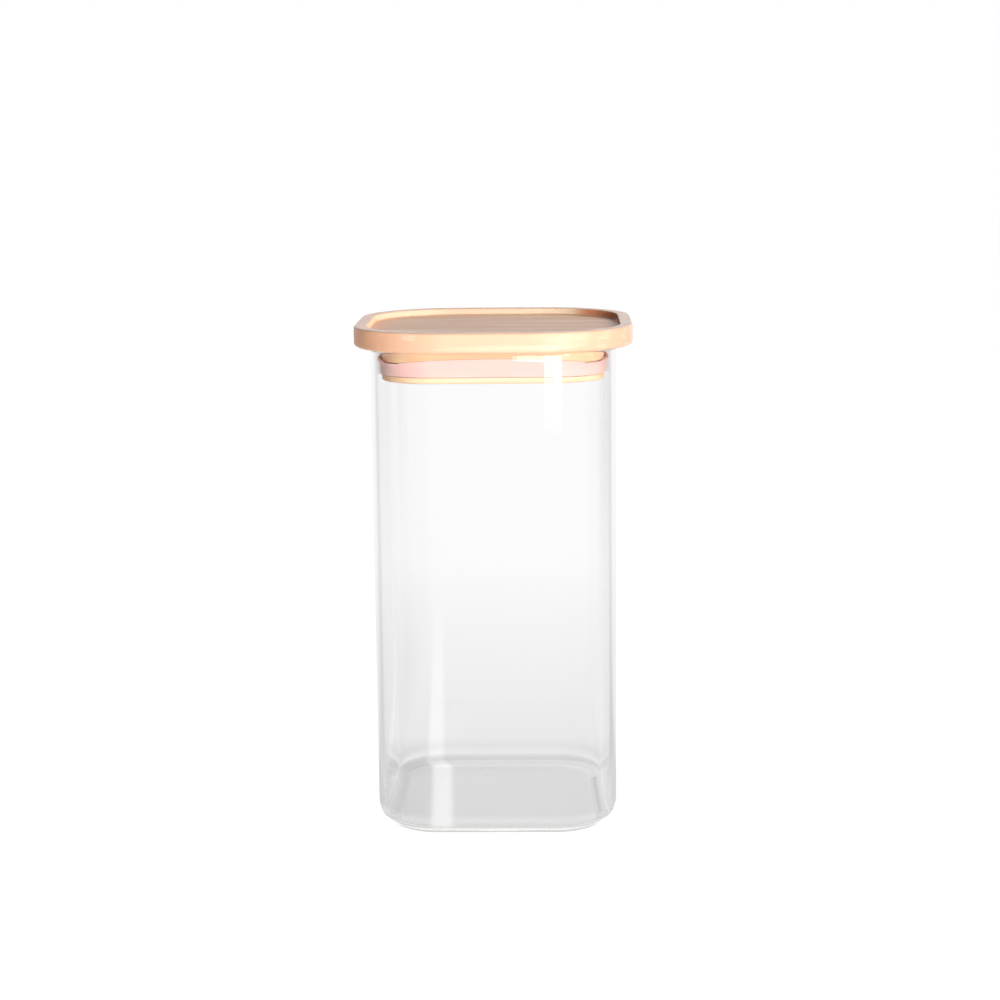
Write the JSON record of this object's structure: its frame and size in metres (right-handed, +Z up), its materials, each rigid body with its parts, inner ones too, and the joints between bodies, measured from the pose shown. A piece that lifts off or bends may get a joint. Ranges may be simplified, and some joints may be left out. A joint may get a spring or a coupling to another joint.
{
  "type": "food storage jar",
  "caption": "Square clear glass food storage jar with round corners, a pale wooden stacking lid and a silicone seal under it; the lid lifts off.",
  "frame": {"origin": "middle of the face that the jar rests on", "axes": "+Z up, along the line the lid lifts on; +X and +Y square to the jar's flat sides, with the pictured front towards -Y"},
  "size_m": [0.114, 0.114, 0.2094],
  "materials": {
    "clear_glass": "clear, polished, very slightly green in the thick of the base",
    "board_wood": "pale close-grained wood, sanded and oiled, satin",
    "plug_wood": "the same wood, sanded",
    "silicone": "soft, milky, slightly see-through, pale pink from the wood behind it"
  },
  "bodies": {
    "jar": {"glass_jar": "clear_glass"},
    "lid": {"lid_board": "board_wood", "lid_plug": "plug_wood", "seal_ring": "silicone"}
  },
  "joints": [
    {"name": "lid_lift", "type": "slide", "parent": "jar", "child": "lid", "axis": [0, 0, 1], "range_m": [0, 0.12]}
  ]
}
